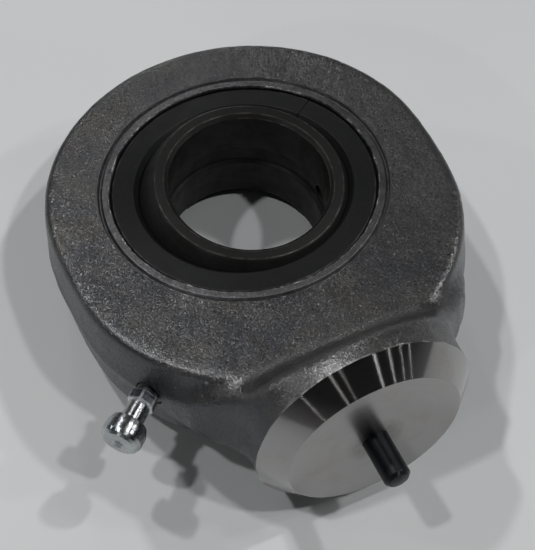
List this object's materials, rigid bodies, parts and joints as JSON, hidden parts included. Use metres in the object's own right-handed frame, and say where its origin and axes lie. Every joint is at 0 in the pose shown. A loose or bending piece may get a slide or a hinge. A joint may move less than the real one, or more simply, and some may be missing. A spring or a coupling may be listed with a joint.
{
  "type": "rod end bearing",
  "caption": "Weld-on rod end: forged eye with a spherical plain bearing whose ball swivels and tilts, a chamfered round weld shank, a centring pin and a grease nipple.",
  "frame": {"origin": "centre of the overall box; the bearing's centre is at (1.505, 10.25, 0) mm, on the eye's mid-plane", "axes": "+Z along the bore axis of the housing's eye, -Y along the shank and out of the weld face, grease nipple towards -X and -Y"},
  "size_m": [0.0664, 0.0838, 0.0336],
  "materials": {
    "housing": "rough forged and blasted, machined weld face",
    "outer_ring": "black phosphate",
    "inner_ring": "dark phosphate, turned",
    "race_grease": "grease, wet",
    "ball_grease": "grease, wet",
    "centering_pin": "black oxide",
    "nipple_body": "bright zinc plate",
    "nipple_check_ball": "polished",
    "nipple_spring": "drawn wire"
  },
  "bodies": {
    "housing": {"housing": "housing", "outer_ring": "outer_ring", "centering_pin": "centering_pin", "nipple_body": "nipple_body", "nipple_spring": "nipple_spring"},
    "race_grease": {"race_grease": "race_grease"},
    "ball_grease": {"ball_grease": "ball_grease"},
    "inner_ring": {"inner_ring": "inner_ring"},
    "check_ball": {"nipple_check_ball": "nipple_check_ball"}
  },
  "joints": [
    {"name": "tilt_direction", "type": "hinge", "parent": "housing", "child": "race_grease", "pos_m": [0.0015, 0.01025, 0], "axis": [0, 0, 1], "continuous": true},
    {"name": "tilt", "type": "hinge", "parent": "race_grease", "child": "ball_grease", "pos_m": [0.0015, 0.01025, 0], "axis": [0.866, 0.5, 0], "range_deg": [-14.5, 0.5]},
    {"name": "swivel", "type": "hinge", "parent": "ball_grease", "child": "inner_ring", "pos_m": [0.0015, 0.01025, 0], "axis": [0.0609, -0.1055, 0.9925], "continuous": true},
    {"name": "check_valve", "type": "slide", "parent": "housing", "child": "check_ball", "axis": [0.7431, 0.6691, 0], "range_m": [0, 0.0008], "deforming": ["nipple_spring"]}
  ]
}
